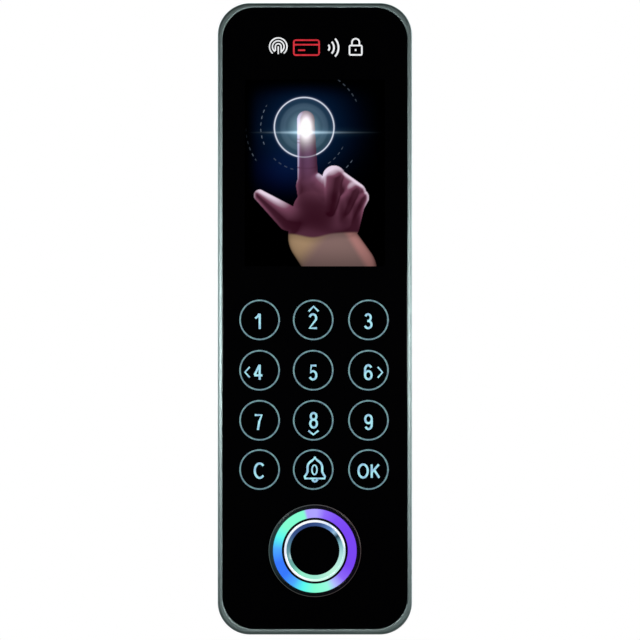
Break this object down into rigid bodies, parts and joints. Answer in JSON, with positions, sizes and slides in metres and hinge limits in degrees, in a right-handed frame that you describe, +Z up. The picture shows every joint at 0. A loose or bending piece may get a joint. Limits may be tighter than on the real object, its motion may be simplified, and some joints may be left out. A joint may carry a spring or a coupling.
{
  "type": "fingerprint scanner terminal",
  "caption": "Slim wall-mounted access terminal with a display, a lit touch keypad and a round fingerprint reader in a metal-rimmed glass front, on a steel wall plate.",
  "frame": {"origin": "middle of the wall plate's rear face, level with the middle of the case", "axes": "+X right seen from the front, +Y into the wall, +Z up; the glass front faces -Y"},
  "size_m": [0.06, 0.021, 0.195],
  "materials": {
    "rim_metal": "satin, grey with a slight green cast",
    "cover_glass": "polished black glass, back-printed",
    "display_glass": "display cell, lit when on",
    "foam": "closed-cell foam and adhesive",
    "light_guide": "frosted light-spreading plastic",
    "reader_plastic": "glossy black, bevelled",
    "chrome_ring": "polished chrome",
    "black_plastic": "fine spark-eroded texture",
    "white_plastic": "moulded, satin",
    "circuit_board": "green solder mask",
    "flex_circuit": "amber polyimide film",
    "copper": "etched copper coil",
    "rubber": "matt black rubber",
    "plated_steel": "zinc or nickel plated",
    "plate_steel": "galvanised sheet, punched and folded",
    "brass_insert": "machined brass"
  },
  "bodies": {
    "wall_bracket": {"wall_plate": "plate_steel", "lock_screw": "plated_steel"},
    "unit": {"bezel_frame": "rim_metal", "front_glass": "cover_glass", "glass_gasket": "foam", "lcd_foam_frame": "foam", "lcd_cell": "display_glass", "lcd_backlight": "white_plastic", "lcd_flex": "flex_circuit", "key_diffuser": "light_guide", "keypad_board": "circuit_board", "rf_antenna": "copper", "keypad_flex": "flex_circuit", "reader_bezel": "reader_plastic", "reader_light_ring": "light_guide", "reader_sleeve": "reader_plastic", "reader_chrome_ring": "chrome_ring", "sensor_window": "cover_glass", "sensor_body": "black_plastic", "sensor_board": "circuit_board", "reader_washer": "rubber", "reader_nut": "black_plastic", "sensor_flex": "flex_circuit", "main_board": "circuit_board", "board_screw_1": "plated_steel", "board_screw_2": "plated_steel", "board_screw_3": "plated_steel", "board_screw_4": "plated_steel", "processor_shield": "plated_steel", "relay": "white_plastic", "cell_holder": "black_plastic", "coin_cell": "plated_steel", "power_header": "white_plastic", "bus_header": "white_plastic", "lock_header": "white_plastic", "buzzer": "black_plastic", "tamper_switch_body": "black_plastic", "reset_switch_body": "plated_steel", "rear_housing": "black_plastic", "housing_seal": "rubber", "case_screw_1": "plated_steel", "case_screw_2": "plated_steel", "case_screw_3": "plated_steel", "case_screw_4": "plated_steel", "lock_insert": "brass_insert", "tamper_spring": "plated_steel"},
    "tamper_plunger": {"tamper_plunger": "white_plastic"},
    "reset_button": {"reset_button": "white_plastic"}
  },
  "joints": [
    {"name": "unit_lift", "type": "slide", "parent": "wall_bracket", "child": "unit", "axis": [0, 0, 1], "range_m": [0, 0.006]},
    {"name": "tamper_press", "type": "slide", "parent": "unit", "child": "tamper_plunger", "axis": [0, 1, 0], "range_m": [0, 0.0015], "stiffness_N_per_m": 300, "springref_m": 0.0025, "deforming": ["tamper_spring"]},
    {"name": "reset_press", "type": "slide", "parent": "unit", "child": "reset_button", "axis": [0, -1, 0], "range_m": [0, 0.0005], "stiffness_N_per_m": 800}
  ]
}
